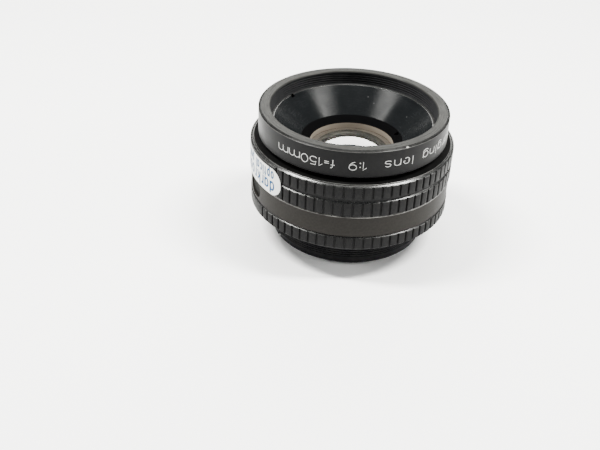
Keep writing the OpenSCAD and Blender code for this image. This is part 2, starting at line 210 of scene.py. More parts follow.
def new_material(name):
    material = bpy.data.materials.new(name)
    material.use_nodes = True
    return material


def shader_of(material):
    return material.node_tree.nodes["Principled BSDF"]


CUT_SCALE = 1000.0             # steps of the lathe's cut per metre
FINE_GRAIN = 5200.0            # scale of the finest grain
QUARTER_TURN = 0.25            # as the shader counts a turn of the anisotropic direction


class Graph:
    """Short calls for a material's nodes."""

    def __init__(self, material):
        self.tree = material.node_tree
        self.shader = shader_of(material)

    def node(self, kind, **values):
        made = self.tree.nodes.new(kind)
        for key, value in values.items():
            setattr(made, key, value)
        return made

    def link(self, source, target):
        self.tree.links.new(source, target)

    def place(self):
        """Object coordinates, in metres."""
        return self.node("ShaderNodeTexCoord").outputs["Object"]

    def math(self, operation, a, b=None):
        made = self.node("ShaderNodeMath", operation=operation)
        for socket, value in zip(made.inputs, (a, b)):
            if value is None:
                continue
            if isinstance(value, (int, float)):
                socket.default_value = value
            else:
                self.link(value, socket)
        return made.outputs[0]

    def turned_place(self, around):
        """A coordinate that changes fast across the lathe's cut and slowly around it."""
        place = self.place()
        split = self.node("ShaderNodeSeparateXYZ")
        self.link(place, split.inputs[0])
        flat = self.node("ShaderNodeCombineXYZ")
        self.link(split.outputs[0], flat.inputs[0])
        self.link(split.outputs[1], flat.inputs[1])
        length = self.node("ShaderNodeVectorMath", operation="LENGTH")
        self.link(flat.outputs[0], length.inputs[0])
        unit = self.node("ShaderNodeVectorMath", operation="NORMALIZE")
        self.link(flat.outputs[0], unit.inputs[0])
        cut = self.math("ADD", length.outputs["Value"], split.outputs[2])
        high = self.math("MULTIPLY", cut, CUT_SCALE)
        scaled = self.node("ShaderNodeVectorMath", operation="SCALE")
        scaled.inputs["Scale"].default_value = around
        self.link(unit.outputs[0], scaled.inputs[0])
        parts = self.node("ShaderNodeSeparateXYZ")
        self.link(scaled.outputs[0], parts.inputs[0])
        joined = self.node("ShaderNodeCombineXYZ")
        self.link(parts.outputs[0], joined.inputs[0])
        self.link(parts.outputs[1], joined.inputs[1])
        self.link(high, joined.inputs[2])
        return joined.outputs[0]

    def noise(self, vector, scale, detail=3.0, rough=0.55):
        made = self.node("ShaderNodeTexNoise")
        made.inputs["Scale"].default_value = scale
        made.inputs["Detail"].default_value = detail
        made.inputs["Roughness"].default_value = rough
        self.link(vector, made.inputs["Vector"])
        return made.outputs["Fac"]

    def span(self, value, low_in, high_in, low_out=0.0, high_out=1.0):
        """The value, stretched from one range to another."""
        made = self.node("ShaderNodeMapRange")
        made.inputs["From Min"].default_value = low_in
        made.inputs["From Max"].default_value = high_in
        made.inputs["To Min"].default_value = low_out
        made.inputs["To Max"].default_value = high_out
        self.link(value, made.inputs["Value"])
        return made.outputs["Result"]

    def mix(self, factor, first, second):
        made = self.node("ShaderNodeMix", data_type="RGBA")
        for socket, value in ((made.inputs[0], factor), (made.inputs[6], first), (made.inputs[7], second)):
            if isinstance(value, tuple):
                socket.default_value = (*value, 1)
            else:
                self.link(value, socket)
        return made.outputs[2]

    def spot(self, point, radius, colour, over):
        """The colour over, with a small round spot of another colour at a point of the object."""
        away = self.node("ShaderNodeVectorMath", operation="DISTANCE")
        self.link(self.place(), away.inputs[0])
        away.inputs[1].default_value = point
        return self.mix(self.span(away.outputs["Value"], 0.6 * radius, radius, 1.0, 0.0), over, colour)

    def bump(self, height, strength, distance, below=None):
        made = self.node("ShaderNodeBump")
        made.inputs["Strength"].default_value = strength
        made.inputs["Distance"].default_value = distance
        self.link(height, made.inputs["Height"])
        if below is not None:
            self.link(below, made.inputs["Normal"])
        return made.outputs["Normal"]


def anodised(name, base, wear_and_highlight, rough, lines, grain, anisotropy, specular,
             spots=(), turning=5.0, mottle=260.0, ringed=0.0):
    """Black anodised aluminium turned on a lathe, with a second tone in places: random wear, and where that
    tone is much lighter, painted highlight or sheen.

    lines and grain are the strengths of the lathe's rings and of the fine grain, turning and mottle the
    scales of the rings and of the clouds, ringed the share of the rings in the mask of the second tone, and
    spots holds (point, radius, colour).
    """
    material = new_material(name)
    graph = Graph(material)
    shader = graph.shader
    cut = graph.noise(graph.turned_place(around=3.0), turning, detail=4.0, rough=0.65)
    cloud = graph.noise(graph.place(), mottle)
    # Mask of the second tone: random wear, which in the lighter edge, bare edge and rim materials is also
    # painted highlight or sheen.
    second_tone_mask = graph.math("ADD", graph.math("MULTIPLY", cut, ringed), graph.math("MULTIPLY", cloud, 1 - ringed))
    tone = graph.mix(graph.span(second_tone_mask, 0.35, 0.7), base, wear_and_highlight)
    for point, radius, colour in spots:
        tone = graph.spot(point, radius, colour, tone)
    graph.link(tone, shader.inputs["Base Color"])
    both = graph.math("ADD", graph.math("MULTIPLY", cut, 0.5), graph.math("MULTIPLY", cloud, 0.5))
    graph.link(graph.span(both, 0.3, 0.7, rough - 0.06, rough + 0.08), shader.inputs["Roughness"])
    shader.inputs["Metallic"].default_value = 0.0
    shader.inputs["Specular IOR Level"].default_value = specular
    shader.inputs["Anisotropic"].default_value = anisotropy
    shader.inputs["Anisotropic Rotation"].default_value = QUARTER_TURN
    tangent = graph.node("ShaderNodeTangent", direction_type="RADIAL", axis="Z")
    graph.link(tangent.outputs[0], shader.inputs["Tangent"])
    fine = graph.noise(graph.place(), FINE_GRAIN, detail=2.0)
    rings = graph.bump(cut, lines, distance=0.03 * MM)
    graph.link(graph.bump(fine, grain, distance=0.012 * MM, below=rings), shader.inputs["Normal"])
    return material


def plain_paint(name, base, rough, grain_scale=4000.0, grain=0.2, specular=0.5):
    """A smooth coat with a fine grain and a slight variation of colour."""
    material = new_material(name)
    graph = Graph(material)
    cloud = graph.noise(graph.place(), scale=300.0)
    darker = tuple(0.82 * c for c in base)
    graph.link(graph.mix(cloud, darker, base), graph.shader.inputs["Base Color"])
    graph.link(graph.span(cloud, 0.3, 0.7, rough - 0.05, rough + 0.05), graph.shader.inputs["Roughness"])
    graph.shader.inputs["Specular IOR Level"].default_value = specular
    fine = graph.noise(graph.place(), grain_scale, detail=2.0)
    graph.link(graph.bump(fine, grain, distance=0.02 * MM), graph.shader.inputs["Normal"])
    return material


def metal(name, base, rough):
    """Bare or blued metal turned on a lathe."""
    material = new_material(name)
    graph = Graph(material)
    cut = graph.noise(graph.turned_place(around=4.0), scale=6.0)
    darker = tuple(0.7 * c for c in base)
    graph.link(graph.mix(cut, darker, base), graph.shader.inputs["Base Color"])
    graph.link(graph.span(cut, 0.3, 0.7, rough - 0.08, rough + 0.08), graph.shader.inputs["Roughness"])
    graph.shader.inputs["Metallic"].default_value = 1.0
    graph.link(graph.bump(cut, strength=0.2, distance=0.02 * MM), graph.shader.inputs["Normal"])
    return material


def glass(name, tint, coat_tint, coat_ior):
    """Coated lens glass: clear and slightly hazy, with a coloured reflection."""
    material = new_material(name)
    graph = Graph(material)
    shader = graph.shader
    haze = graph.span(graph.noise(graph.place(), scale=180.0, detail=2.0), 0.3, 0.7, 0.0, 0.3)
    graph.link(graph.mix(haze, tint, (0.93, 0.95, 0.97)), shader.inputs["Base Color"])
    shader.inputs["Roughness"].default_value = 0.0
    shader.inputs["Transmission Weight"].default_value = 1.0
    shader.inputs["IOR"].default_value = 1.62
    shader.inputs["Coat Weight"].default_value = 1.0
    shader.inputs["Coat IOR"].default_value = coat_ior
    shader.inputs["Coat Roughness"].default_value = 0.0
    shader.inputs["Specular Tint"].default_value = (*coat_tint, 1)
    return material


# ---- mesh helpers ----

def rounded(outline, radius, steps=3):
    """The closed outline with each corner rounded by up to radius."""
    made = []
    count = len(outline)
    for i in range(count):
        before, here, after = (Vector(outline[(i + k) % count]) for k in (-1, 0, 1))
        back, ahead = (before - here), (after - here)
        reach = min(radius, 0.35 * back.length, 0.35 * ahead.length)
        start = here + back.normalized() * reach
        end = here + ahead.normalized() * reach
        for k in range(steps + 1):
            t = k / steps
            made.append(tuple((1 - t) ** 2 * start + 2 * t * (1 - t) * here + t ** 2 * end))
    return made


def link_mesh(name, mesh):
    piece = bpy.data.objects.new(name, mesh)
    bpy.context.scene.collection.objects.link(piece)
    return piece


def finish_mesh(name, made, sharp=35):
    """Turns a bmesh into a smooth-shaded object with its sharp edges marked."""
    bmesh.ops.recalc_face_normals(made, faces=made.faces)
    mesh = bpy.data.meshes.new(name)
    made.to_mesh(mesh)
    made.free()
    for face in mesh.polygons:
        face.use_smooth = True
    mesh.set_sharp_from_angle(angle=math.radians(sharp))
    return link_mesh(name, mesh)


ALL_ROUND = [i * 1.25 for i in range(288)]     # angles of a plain turned piece's columns, degrees


def lathe(name, outline, angles=None, shape=None, sharp=35):
    """Revolves a closed (radius, height) outline. shape(degrees, radius, height) may change its points."""
    angles = angles or ALL_ROUND
    made = bmesh.new()
    columns = []
    for a in angles:
        turn = (math.cos(math.radians(a)), math.sin(math.radians(a)))
        column = []
        for r, z in outline:
            if shape:
                r, z = shape(a, r, z)
            column.append(made.verts.new((r * turn[0], r * turn[1], z)))
        columns.append(column)
    for i, column in enumerate(columns):
        other = columns[(i + 1) % len(columns)]
        for j in range(len(outline)):
            k = (j + 1) % len(outline)
            made.faces.new((column[j], other[j], other[k], column[k]))
    return finish_mesh(name, made, sharp)


def cap(surface, steps=40):
    """Points of a spherical face from the axis outwards."""
    apex, curve, clear = surface
    points = []
    for i in range(steps + 1):
        r = clear * i / steps
        sag = abs(curve) - math.sqrt(curve * curve - r * r)
        points.append((r, apex - math.copysign(sag, curve)))
    return points


def lens_solid(name, front, rear, radius):
    """A lens between two spherical faces, each (apex height, signed radius of curvature, clear radius)."""
    top, low = cap(front), cap(rear)
    edge = []
    if front[2] < radius:
        edge.append((radius, top[-1][1]))
    if rear[2] < radius:
        edge.append((radius, low[-1][1]))
    return revolve(name, top + edge + low[::-1])


def revolve(name, outline, count=192):
    """Revolves an open outline that starts and ends on the axis."""
    made = bmesh.new()
    rows = []
    for r, z in outline:
        if r == 0:
            rows.append([made.verts.new((0, 0, z))])
            continue
        rows.append([made.verts.new((r * math.cos(TAU * i / count), r * math.sin(TAU * i / count), z))
                     for i in range(count)])
    for a, b in zip(rows, rows[1:]):
        for i in range(count):
            j = (i + 1) % count
            if len(a) == 1:
                made.faces.new((a[0], b[i], b[j]))
            elif len(b) == 1:
                made.faces.new((a[i], b[0], a[j]))
            else:
                made.faces.new((a[i], b[i], b[j], a[j]))
    return finish_mesh(name, made, sharp=25)


def dress(piece, material, body=None, replaces=()):
    """Gives a piece its material and body, and hides the CAD nodes it stands for."""
    piece.data.materials.clear()
    piece.data.materials.append(material)
    if body:
        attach(piece, body)
    if replaces:
        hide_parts(*replaces)


def also_material(piece, material, chosen):
    """Puts another material on the faces for which chosen(centre, normal) is true."""
    piece.data.materials.append(material)
    index = len(piece.data.materials) - 1
    for face in piece.data.polygons:
        if chosen(face.center, face.normal):
            face.material_index = index


def in_sector(angle, sector):
    """Whether the angle lies between the two ends of a sector, counted past a full turn."""
    start, end = sector
    return (angle - start) % 360 <= (end - start)


# ---- knurled rings ----

RIB_EDGE = 0.09 * MM           # width of a groove's wall
RIB_ROUND = 0.14 * MM          # width of the round edge beside it
KNURL_ZONE = 0.9 * MM          # how far in from the outside the knurl may move points


def knurl_columns(radius, sector, phase):
    """Angles of the ring's columns and, for each, how deep the knurl cuts there."""
    pitch = 360 / KNURL_COUNT
    half = math.degrees(KNURL_GAP / 2 / radius)
    wall = math.degrees(RIB_EDGE / radius)
    soft = math.degrees(RIB_ROUND / radius)
    sunk = 0.08                 # how deep the round edge has gone down where the wall begins
    steps = [
        (-half - wall - soft, 0.0), (-half - wall, sunk), (-half, 1.0), (half, 1.0),
        (half + wall, sunk), (half + wall + soft, 0.0),
    ]
    free = pitch - 2 * (half + wall + soft)
    steps += [(half + wall + soft + free * k / 4, 0.0) for k in (1, 2, 3)]
    columns = {}
    for i in range(KNURL_COUNT):
        centre = i * pitch + phase
        cut = in_sector(centre, sector)
        for step, depth in steps:
            columns[(centre + step) % 360] = depth if cut else 0.0
    for end in sector:
        for nudge in (-0.1, 0.1):
            columns[(end + nudge) % 360] = 0.0
    return columns


def knurled_ring(name, outline, radius, sector, phase, shape):
    """A turned ring whose points near the outside go through shape(angle, radius, height, knurl floor)."""
    columns = knurl_columns(radius, sector, phase)

    def knurled(angle, r, z):
        if r < radius - KNURL_ZONE:
            return r, z
        return shape(angle, r, z, radius - KNURL_DEPTH * columns[angle])

    return lathe(name, rounded(outline, 0.07 * MM, 2), sorted(columns), knurled, sharp=50)


def aperture_ring():
    r = RING_R
    floor = r - KNURL_DEPTH
    bore = 25.25 * MM
    lip = r - 1.0 * MM
    outline = [
        (bore, RING_LOW), (r - 0.3 * MM, RING_LOW), (r, RING_LOW + 0.3 * MM),
        (r, GROOVE_LOW - 0.4 * MM), (r - 0.25 * MM, GROOVE_LOW - 0.2 * MM), (floor, GROOVE_LOW),
        (floor, GROOVE_TOP), (r, GROOVE_TOP + 0.04 * MM),
        (r, ROW_TOP), (r - 0.25 * MM, ROW_TOP + 0.2 * MM), (floor, ROW_TOP + 0.4 * MM),
        (r - 0.75 * MM, ROW_TOP + 0.1 * MM), (lip, ROW_TOP + 0.3 * MM),
        (lip, SHOULDER_Z - 0.16 * MM), (lip - 0.16 * MM, SHOULDER_Z),
        (HUB_R, SHOULDER_Z), (HUB_R, RING_TOP), (bore, RING_TOP),
    ]

    def shape(angle, radius, z, knurl_floor):
        if not in_sector(angle, RING_KNURL) and RING_LOW + 0.4 * MM < z < ROW_TOP - 0.1 * MM:
            return r, z
        past_knurl = z > ROW_TOP + 0.1 * MM or GROOVE_LOW - 0.3 * MM < z < GROOVE_TOP - 0.1 * MM
        if past_knurl or radius < r - 0.7 * MM:
            return radius, z
        return min(radius, knurl_floor), z

    piece = knurled_ring("aperture_grip", outline, r, RING_KNURL, RING_PHASE, shape)
    head_floor = 29.5 * MM
    cut_radial_hole(piece, SCREW_HEAD_R, head_floor, r + MM, SCREW_ANGLE, SCREW_Z)
    dress(piece, MAT["ring"], "aperture_control", ["aperture_ring"])
    also_material(piece, MAT["edge"], lambda at, up: up.z > 0.3 and at.xy.length > lip)
    # The shoulder's flat top is made near black: painted shade of the recess under the name ring.
    also_material(piece, MAT["shade"], lambda at, up: at.z > SHOULDER_Z - 0.01 * MM and at.xy.length < lip)
    # A narrow strip at the lip's outer edge gets a lighter tone: partly wear, partly a painted highlight
    # along the edge.
    wear_and_highlight_from = lip - 0.2 * MM
    also_material(piece, MAT["wear_and_highlight"], lambda at, up: 0.2 < up.z < 0.98 and wear_and_highlight_from < at.xy.length < lip)


def grip_ring():
    r = GRIP_R
    hub = 28.0 * MM
    low, top = 0.75 * MM, 0.4 * MM
    outline = [
        (hub, GRIP_LOW), (r - low, GRIP_LOW),
        (r - KNURL_DEPTH, GRIP_LOW + low - KNURL_DEPTH), (r, GRIP_LOW + low),
        (r, GRIP_TOP - top), (r - 0.25 * MM, GRIP_TOP - top / 2), (r - 0.5 * MM, GRIP_TOP), (hub, GRIP_TOP),
    ]

    def shape(angle, radius, z, knurl_floor):
        return (radius if z > GRIP_TOP - 0.7 * top else min(radius, knurl_floor)), z

    piece = knurled_ring("grip_knurl", outline, r, GRIP_KNURL, GRIP_PHASE, shape)
    grub_floor = 30.0 * MM
    for a in GRUB_ANGLES:
        cut_radial_hole(piece, GRUB_R, grub_floor, r + MM, a, GRUB_Z)
    dress(piece, MAT["ring"], "mount", ["grip_ring"])
    also_material(piece, MAT["edge"], lambda at, up: up.z > 0.3 and at.xy.length > r - 0.6 * MM)


def cut_window(piece, start, end):
    """Cuts the long window of the diaphragm scale into the side of the band."""
    radius = WINDOW_HEIGHT / 2
    shift = WINDOW_LENGTH / 2 - radius
    made = bmesh.new()
    count = 96
    rows = []
    for x in (start, end):
        row = []
        for i in range(count):
            y, z = radius * math.cos(TAU * (i + 0.5) / count), radius * math.sin(TAU * (i + 0.5) / count)
            row.append(made.verts.new((x, y + math.copysign(shift, y), z)))
        rows.append(row)
    for i in range(count):
        j = (i + 1) % count
        made.faces.new((rows[0][i], rows[0][j], rows[1][j], rows[1][i]))
    made.faces.new(rows[0][::-1])
    made.faces.new(rows[1])
    made.transform(Matrix.Rotation(math.radians(WINDOW_ANGLE), 4, "Z") @ Matrix.Translation((0, 0, WINDOW_Z)))
    subtract(piece, made)


def cut_radial_hole(piece, radius, start, end, angle, z):
    """Bores a round blind hole into the side of a piece."""
    made = bmesh.new()
    bmesh.ops.create_cone(made, cap_ends=True, segments=48, radius1=radius, radius2=radius, depth=end - start)
    turn = Matrix.Rotation(math.radians(angle), 4, "Z") @ Matrix.Translation(((start + end) / 2, 0, z))
    made.transform(turn @ Matrix.Rotation(math.pi / 2, 4, "Y"))
    subtract(piece, made)


def subtract(piece, made):
    """Takes a cutter away from a piece."""
    bmesh.ops.recalc_face_normals(made, faces=made.faces)
    mesh = bpy.data.meshes.new("cutter")
    made.to_mesh(mesh)
    made.free()
    cutter = link_mesh("cutter", mesh)
    cut = piece.modifiers.new("hole", "BOOLEAN")
    cut.operation = "DIFFERENCE"
    cut.object = cutter
    cut.solver = "EXACT"
    apply_modifiers(piece)
    bpy.data.objects.remove(cutter)
    piece.data.set_sharp_from_angle(angle=math.radians(50))


def apply_modifiers(piece):
    """Bakes a piece's modifiers into its mesh."""
    view = bpy.context.evaluated_depsgraph_get()
    view.update()
    mesh = bpy.data.meshes.new_from_object(piece.evaluated_get(view))
    piece.modifiers.clear()
    piece.data = mesh


# ---- plain turned pieces ----

def thread_outline(radius, low, high):
    """Points along a threaded wall from low to high, sixteen to a turn."""
    steps = max(2, round((high - low) / (THREAD_PITCH / 16)))
    return [(radius, low + (high - low) * i / steps) for i in range(steps + 1)]


def thread_shape(radius, low, high, direction):
    """Cuts a helix into the wall, inwards from radius for direction 1 and outwards for -1."""
    run_out = 0.3 * MM

    def shape(angle, r, z):
        if abs(r - radius) > 0.01 * MM or z < low or z > high:
            return r, z
        depth = THREAD_DEPTH * (0.5 - 0.5 * math.cos(TAU * (z / THREAD_PITCH - angle / 360)))
        fade = min(1.0, (z - low) / run_out, (high - z) / run_out)
        return r - direction * depth * max(0.0, fade), z

    return shape


def name_ring():
    r = NAME_R
    low, top = LEDGE_Z + 0.15 * MM, RIM_Z - 0.4 * MM
    web, seat, seat_z = 22.0 * MM, 25.2 * MM, 25.2 * MM
    outer = rounded([
        (web, NAME_LOW), (r - 0.55 * MM, NAME_LOW), (r, NAME_LOW + 0.5 * MM), (r, RIM_Z - 0.35 * MM),
        (r - 0.85 * MM, RIM_Z), (FILTER_R + 0.3 * MM, RIM_Z), (FILTER_R, RIM_Z - 0.3 * MM),
    ], 0.07 * MM, 3)
    wall = thread_outline(FILTER_R, low, top)[::-1]
    inner = [(FILTER_R, LEDGE_Z), (seat, LEDGE_Z), (seat, seat_z), (web, seat_z)]
    thread = thread_shape(FILTER_R, low, top, direction=-1)
    piece = lathe("name_ring_turned", outer + wall + inner, shape=thread, sharp=40)
    dress(piece, MAT["name"], "barrel", ["name_ring"])
    # The rim's top face gets a lighter base than the ring's side: painted sheen in place of its reflection,
    # with the lathe's rings in it.
    also_material(piece, MAT["rim"], lambda at, up: up.z > 0.25 and at.z > RIM_Z - 0.4 * MM)
    also_material(piece, MAT["bevel"], lambda at, up: up.z > 0.25 and at.xy.length > r - 0.86 * MM)
    # The outer edge of the bevel gets a lighter tone: partly wear, partly a painted highlight along the edge.
    also_material(piece, MAT["wear_and_highlight"], lambda at, up: 0.1 < up.z < 0.97 and at.xy.length > r - 0.08 * MM)
    also_material(piece, MAT["thread"], lambda at, up: at.xy.length < r - 3 * MM and at.z < RIM_Z - 0.3 * MM)


def cone_height(r):
    """Height of the hood cone's surface at a radius."""
    return RETAINER_TOP + (r - RETAINER_R) * (LEDGE_Z - RETAINER_TOP) / (CONE_TOP_R - RETAINER_R)


def in_notch(angle, centres, half):
    """Whether the angle is within half a notch's width of one of the centres, in degrees."""
    return any(abs((angle - c + 180) % 360 - 180) <= half + 1e-6 for c in centres)


def notched(centres, half, edge=0.2):
    """The columns of a turned piece, with their own ones at the sides of its notches."""
    kept = [a for a in ALL_ROUND if not in_notch(a, centres, half + 2 * edge)]
    steps = (-half - edge, -half, 0, half, half + edge)
    return sorted(kept + [(c + step) % 360 for c in centres for step in steps])


def hood_cone():
    near = CONE_TOP_R - 0.62 * MM
    floor = LEDGE_Z - 1.1 * MM
    foot_z, collar_z = 21.0 * MM, 25.4 * MM
    outline = rounded([
        (RETAINER_R, foot_z), (RETAINER_R, RETAINER_TOP), (near, cone_height(near)), (CONE_TOP_R, LEDGE_Z),
        (HOOD_R, LEDGE_Z), (HOOD_R, collar_z), (22.0 * MM, collar_z), (17.4 * MM, foot_z),
    ], 0.06 * MM, 3)
    notch_r = 25 * MM
    half = math.degrees(SPANNER_HALF / notch_r)
    columns = notched(NOTCH_ANGLES, half)

    def shape(angle, r, z):
        if in_notch(angle, NOTCH_ANGLES, half) and r > near + 0.001 * MM and z > floor:
            return r, floor
        return r, z

    piece = lathe("hood_cone_turned", outline, columns, shape)
    dress(piece, MAT["cone"], "barrel", ["hood_cone"])
    # The ledge's flat top gets a lighter base than the rest of the cone: a painted highlight line, besides
    # its real gloss.
    also_material(piece, MAT["ledge"], lambda at, up: at.z > LEDGE_Z - 0.1 * MM)


def retaining_ring(name, node, mirrored):
    inner = RETAINER_IN_R
    slope = 1.6 * MM / (RETAINER_R - inner)
    slot_r = inner + 1.3 * MM
    floor = RETAINER_TOP - 1.2 * MM
    outline = rounded([
        (inner, RETAINER_LOW + 0.48 * MM), (14.05 * MM, RETAINER_LOW + 0.03 * MM), (RETAINER_R, RETAINER_LOW),
        (RETAINER_R, RETAINER_TOP), (slot_r, RETAINER_TOP - (RETAINER_R - slot_r) * slope),
        (inner, RETAINER_TOP - 1.6 * MM),
    ], 0.05 * MM, 3)
    slot_middle = 14.8 * MM
    half = math.degrees(SPANNER_HALF / slot_middle)
    columns = notched(SLOT_ANGLES, half)

    def shape(angle, r, z):
        if in_notch(angle, SLOT_ANGLES, half) and r > slot_r and z > floor:
            z = floor
        return (r, 2 * IRIS_Z - z) if mirrored else (r, z)

    piece = lathe(name, outline, columns, shape)
    dress(piece, MAT["matte"], "barrel", [node])
    also_material(piece, MAT["bronze"], lambda at, up: at.xy.length < inner + 0.01 * MM)


def mount_sleeve():
    neck = NECK_LOW
    bore = 23.0 * MM
    hub = 28.0 * MM
    flange_t = 1.1 * MM
    relief = MOUNT_R - 0.45 * MM
    low, top = neck + 0.25 * MM, -0.6 * MM
    wall = thread_outline(MOUNT_R, low, top)
    outline = [(bore, neck), (MOUNT_R - 0.4 * MM, neck)] + wall + rounded([
        (relief, -0.5 * MM), (relief, 0), (FLANGE_R, 0), (FLANGE_R, flange_t),
        (hub, flange_t), (hub, GRIP_TOP), (bore, GRIP_TOP),
    ], 0.08 * MM, 2)
    thread = thread_shape(MOUNT_R, low, top, direction=1)
    piece = lathe("mount_sleeve_threaded", outline, shape=thread, sharp=40)
    dress(piece, MAT["mount"], "mount", ["mount_sleeve"])


def fixed_band():
    r = BAND_R
    bore, channel_in, channel_out, channel_z = 25.5 * MM, 26.5 * MM, 28.6 * MM, 7.3 * MM
    edge_z = BAND_TOP - 0.42 * MM
    outline = [
        (bore, BAND_LOW), (r - 0.25 * MM, BAND_LOW), (r, BAND_LOW + 0.25 * MM), (r, edge_z),
        (r, BAND_TOP - 0.24 * MM), (r - 0.3 * MM, BAND_TOP), (channel_out, BAND_TOP),
        (channel_out, channel_z), (channel_in, channel_z), (channel_in, BAND_TOP), (bore, BAND_TOP),
    ]
    piece = lathe("fixed_band_turned", rounded(outline, 0.08 * MM, 3))
    cut_window(piece, 27.4 * MM, r + MM)
    cut_radial_hole(piece, INDEX_R, r - 0.6 * MM, r + MM, INDEX_ANGLE, INDEX_Z)
    dress(piece, MAT["band"], "barrel", ["fixed_band"])
    # The band's top edge strip gets a much lighter second tone: partly bare metal, partly a painted highlight
    # line.
    also_material(piece, MAT["bare_and_highlight"], lambda at, up: at.z > edge_z and at.xy.length > r - 0.28 * MM)


def at_rear(faces):
    """The two faces of a lens, mirrored to the other side of the iris."""
    return [(2 * IRIS_Z - apex, -curve, clear) for apex, curve, clear in reversed(faces)]


def front_glass():
    """The cemented pair is one body of glass here, because its inner face hardly reflects."""
    pair = lens_solid("front_cemented_pair", *PAIR, GLASS_R)
    dress(pair, MAT["glass"], "barrel", ["front_outer_element", "front_inner_crown"])
    also_material(pair, MAT["glass_inner"], lambda at, up: up.z < -0.1)
    meniscus = lens_solid("front_meniscus_lens", *MENISCUS, MENISCUS_R)
    dress(meniscus, MAT["glass_inner"], "barrel", ["front_meniscus"])


def rear_glass():
    pair = lens_solid("rear_cemented_pair", *at_rear(PAIR), GLASS_R)
    dress(pair, MAT["glass"], "barrel", ["rear_outer_element", "rear_inner_crown"])
    meniscus = lens_solid("rear_meniscus_lens", *at_rear(MENISCUS), MENISCUS_R)
    dress(meniscus, MAT["glass_inner"], "barrel", ["rear_meniscus"])


# ---- engraving and label ----

def arc(x, y, rx, ry, start, end, steps=14):
    """Points of an elliptical arc, angles in degrees."""
    angles = [math.radians(start + (end - start) * k / steps) for k in range(steps + 1)]
    return [(x + rx * math.cos(a), y + ry * math.sin(a)) for a in angles]


def arch(left, right, top=0.74):
    """Left stem's shoulder, over to the right stem and down to the baseline."""
    rx = (right - left) / 2
    return arc(left + rx, top - 0.3, rx, 0.3, 180, 0) + [(right, 0)]


def glyph(letter):
    """The strokes of a character in a box one wide; the baseline is at 0 and the height of a digit is 1."""
    bowl = arc(0.5, 0.37, 0.5, 0.37, 0, 360, 28)
    stem, right_stem = [(0.0, 0.0), (0.0, 0.74)], [(1.0, 0.0), (1.0, 0.74)]
    strokes = {
        "0": [arc(0.5, 0.5, 0.5, 0.5, 0, 360, 32)],
        "1": [[(0.0, 0.72), (0.9, 1.0), (0.9, 0.0)]],
        "5": [[(0.9, 1.0), (0.16, 1.0), (0.06, 0.55)] + arc(0.45, 0.33, 0.55, 0.33, 125, -140, 20)],
        "9": [arc(0.5, 0.66, 0.5, 0.34, 0, 360, 28), arc(0.1, 0.66, 0.9, 0.66, 0, -80, 12)],
        "2": [arc(0.5, 0.7, 0.5, 0.3, 170, -35, 14) + [(0.0, 0.0), (1.0, 0.0)]],
        "4": [[(0.75, 0.0), (0.75, 1.0), (0.0, 0.3), (1.0, 0.3)]],
        "6": [arc(0.5, 0.34, 0.5, 0.34, 0, 360, 28), arc(0.9, 0.34, 0.9, 0.66, 180, 100, 12)],
        ":": [arc(0.5, 0.12, 0.15, 0.045, 0, 360, 8), arc(0.5, 0.62, 0.15, 0.045, 0, 360, 8)],
        "=": [[(0.0, 0.26), (1.0, 0.26)], [(0.0, 0.48), (1.0, 0.48)]],
        "f": [arc(0.95, 0.72, 0.45, 0.26, 80, 180, 10) + [(0.5, 0.0)], [(0.0, 0.62), (1.0, 0.62)]],
        "m": [stem, arch(0.0, 0.5), arch(0.5, 1.0)],
        "n": [stem, arch(0.0, 1.0)],
        "l": [[(0.5, 0.0), (0.5, 1.0)]],
        "i": [[(0.5, 0.0), (0.5, 0.74)], [(0.5, 0.9), (0.5, 1.02)]],
        "r": [stem, arc(0.7, 0.42, 0.7, 0.32, 180, 80, 10)],
        "e": [[(0.02, 0.38), (0.98, 0.38)] + arc(0.5, 0.37, 0.5, 0.37, 0, 300, 24)],
        "a": [bowl, right_stem],
        "o": [bowl],
        "c": [arc(0.5, 0.37, 0.5, 0.37, 45, 315, 20)],
        "d": [bowl, [(1.0, 0.0), (1.0, 1.0)]],
        "p": [bowl, [(0.0, 0.74), (0.0, -0.28)]],
        "k": [[(0.0, 0.0), (0.0, 1.0)], [(0.9, 0.74), (0.0, 0.28)], [(0.35, 0.46), (1.0, 0.0)]],
        "t": [[(0.5, 1.0), (0.5, 0.0)], [(0.0, 0.72), (1.0, 0.72)]],
        "g": [bowl, [(1.0, 0.74), (1.0, 0.0)] + arc(0.5, -0.02, 0.5, 0.24, 0, -150, 12)],
        "s": [arc(0.5, 0.55, 0.42, 0.19, 30, 270, 14) + arc(0.5, 0.18, 0.46, 0.18, 90, -150, 14)],
    }
    return strokes[letter]


def ribbon(made, path, wide, place):
    """A flat ribbon of paint along a path; place(x, y, lifted) gives points in space."""
    corners = ((1, True), (-1, True), (-1, False), (1, False))
    rows = []
    for i, here in enumerate(path):
        ahead = Vector(path[min(i + 1, len(path) - 1)]) - Vector(here)
        behind = Vector(here) - Vector(path[max(i - 1, 0)])
        along = (ahead.normalized() + behind.normalized()).normalized()
        side = Vector((-along.y, along.x)) * wide / 2
        if i in (0, len(path) - 1):
            here = Vector(here) + along * (wide / 3 if i else -wide / 3)
        rows.append([made.verts.new(place(here[0] + k * side.x, here[1] + k * side.y, lifted))
                     for k, lifted in corners])
    for a, b in zip(rows, rows[1:]):
        for i in range(4):
            made.faces.new((a[i], a[(i + 1) % 4], b[(i + 1) % 4], b[i]))
    made.faces.new(rows[0])
    made.faces.new(rows[-1][::-1])


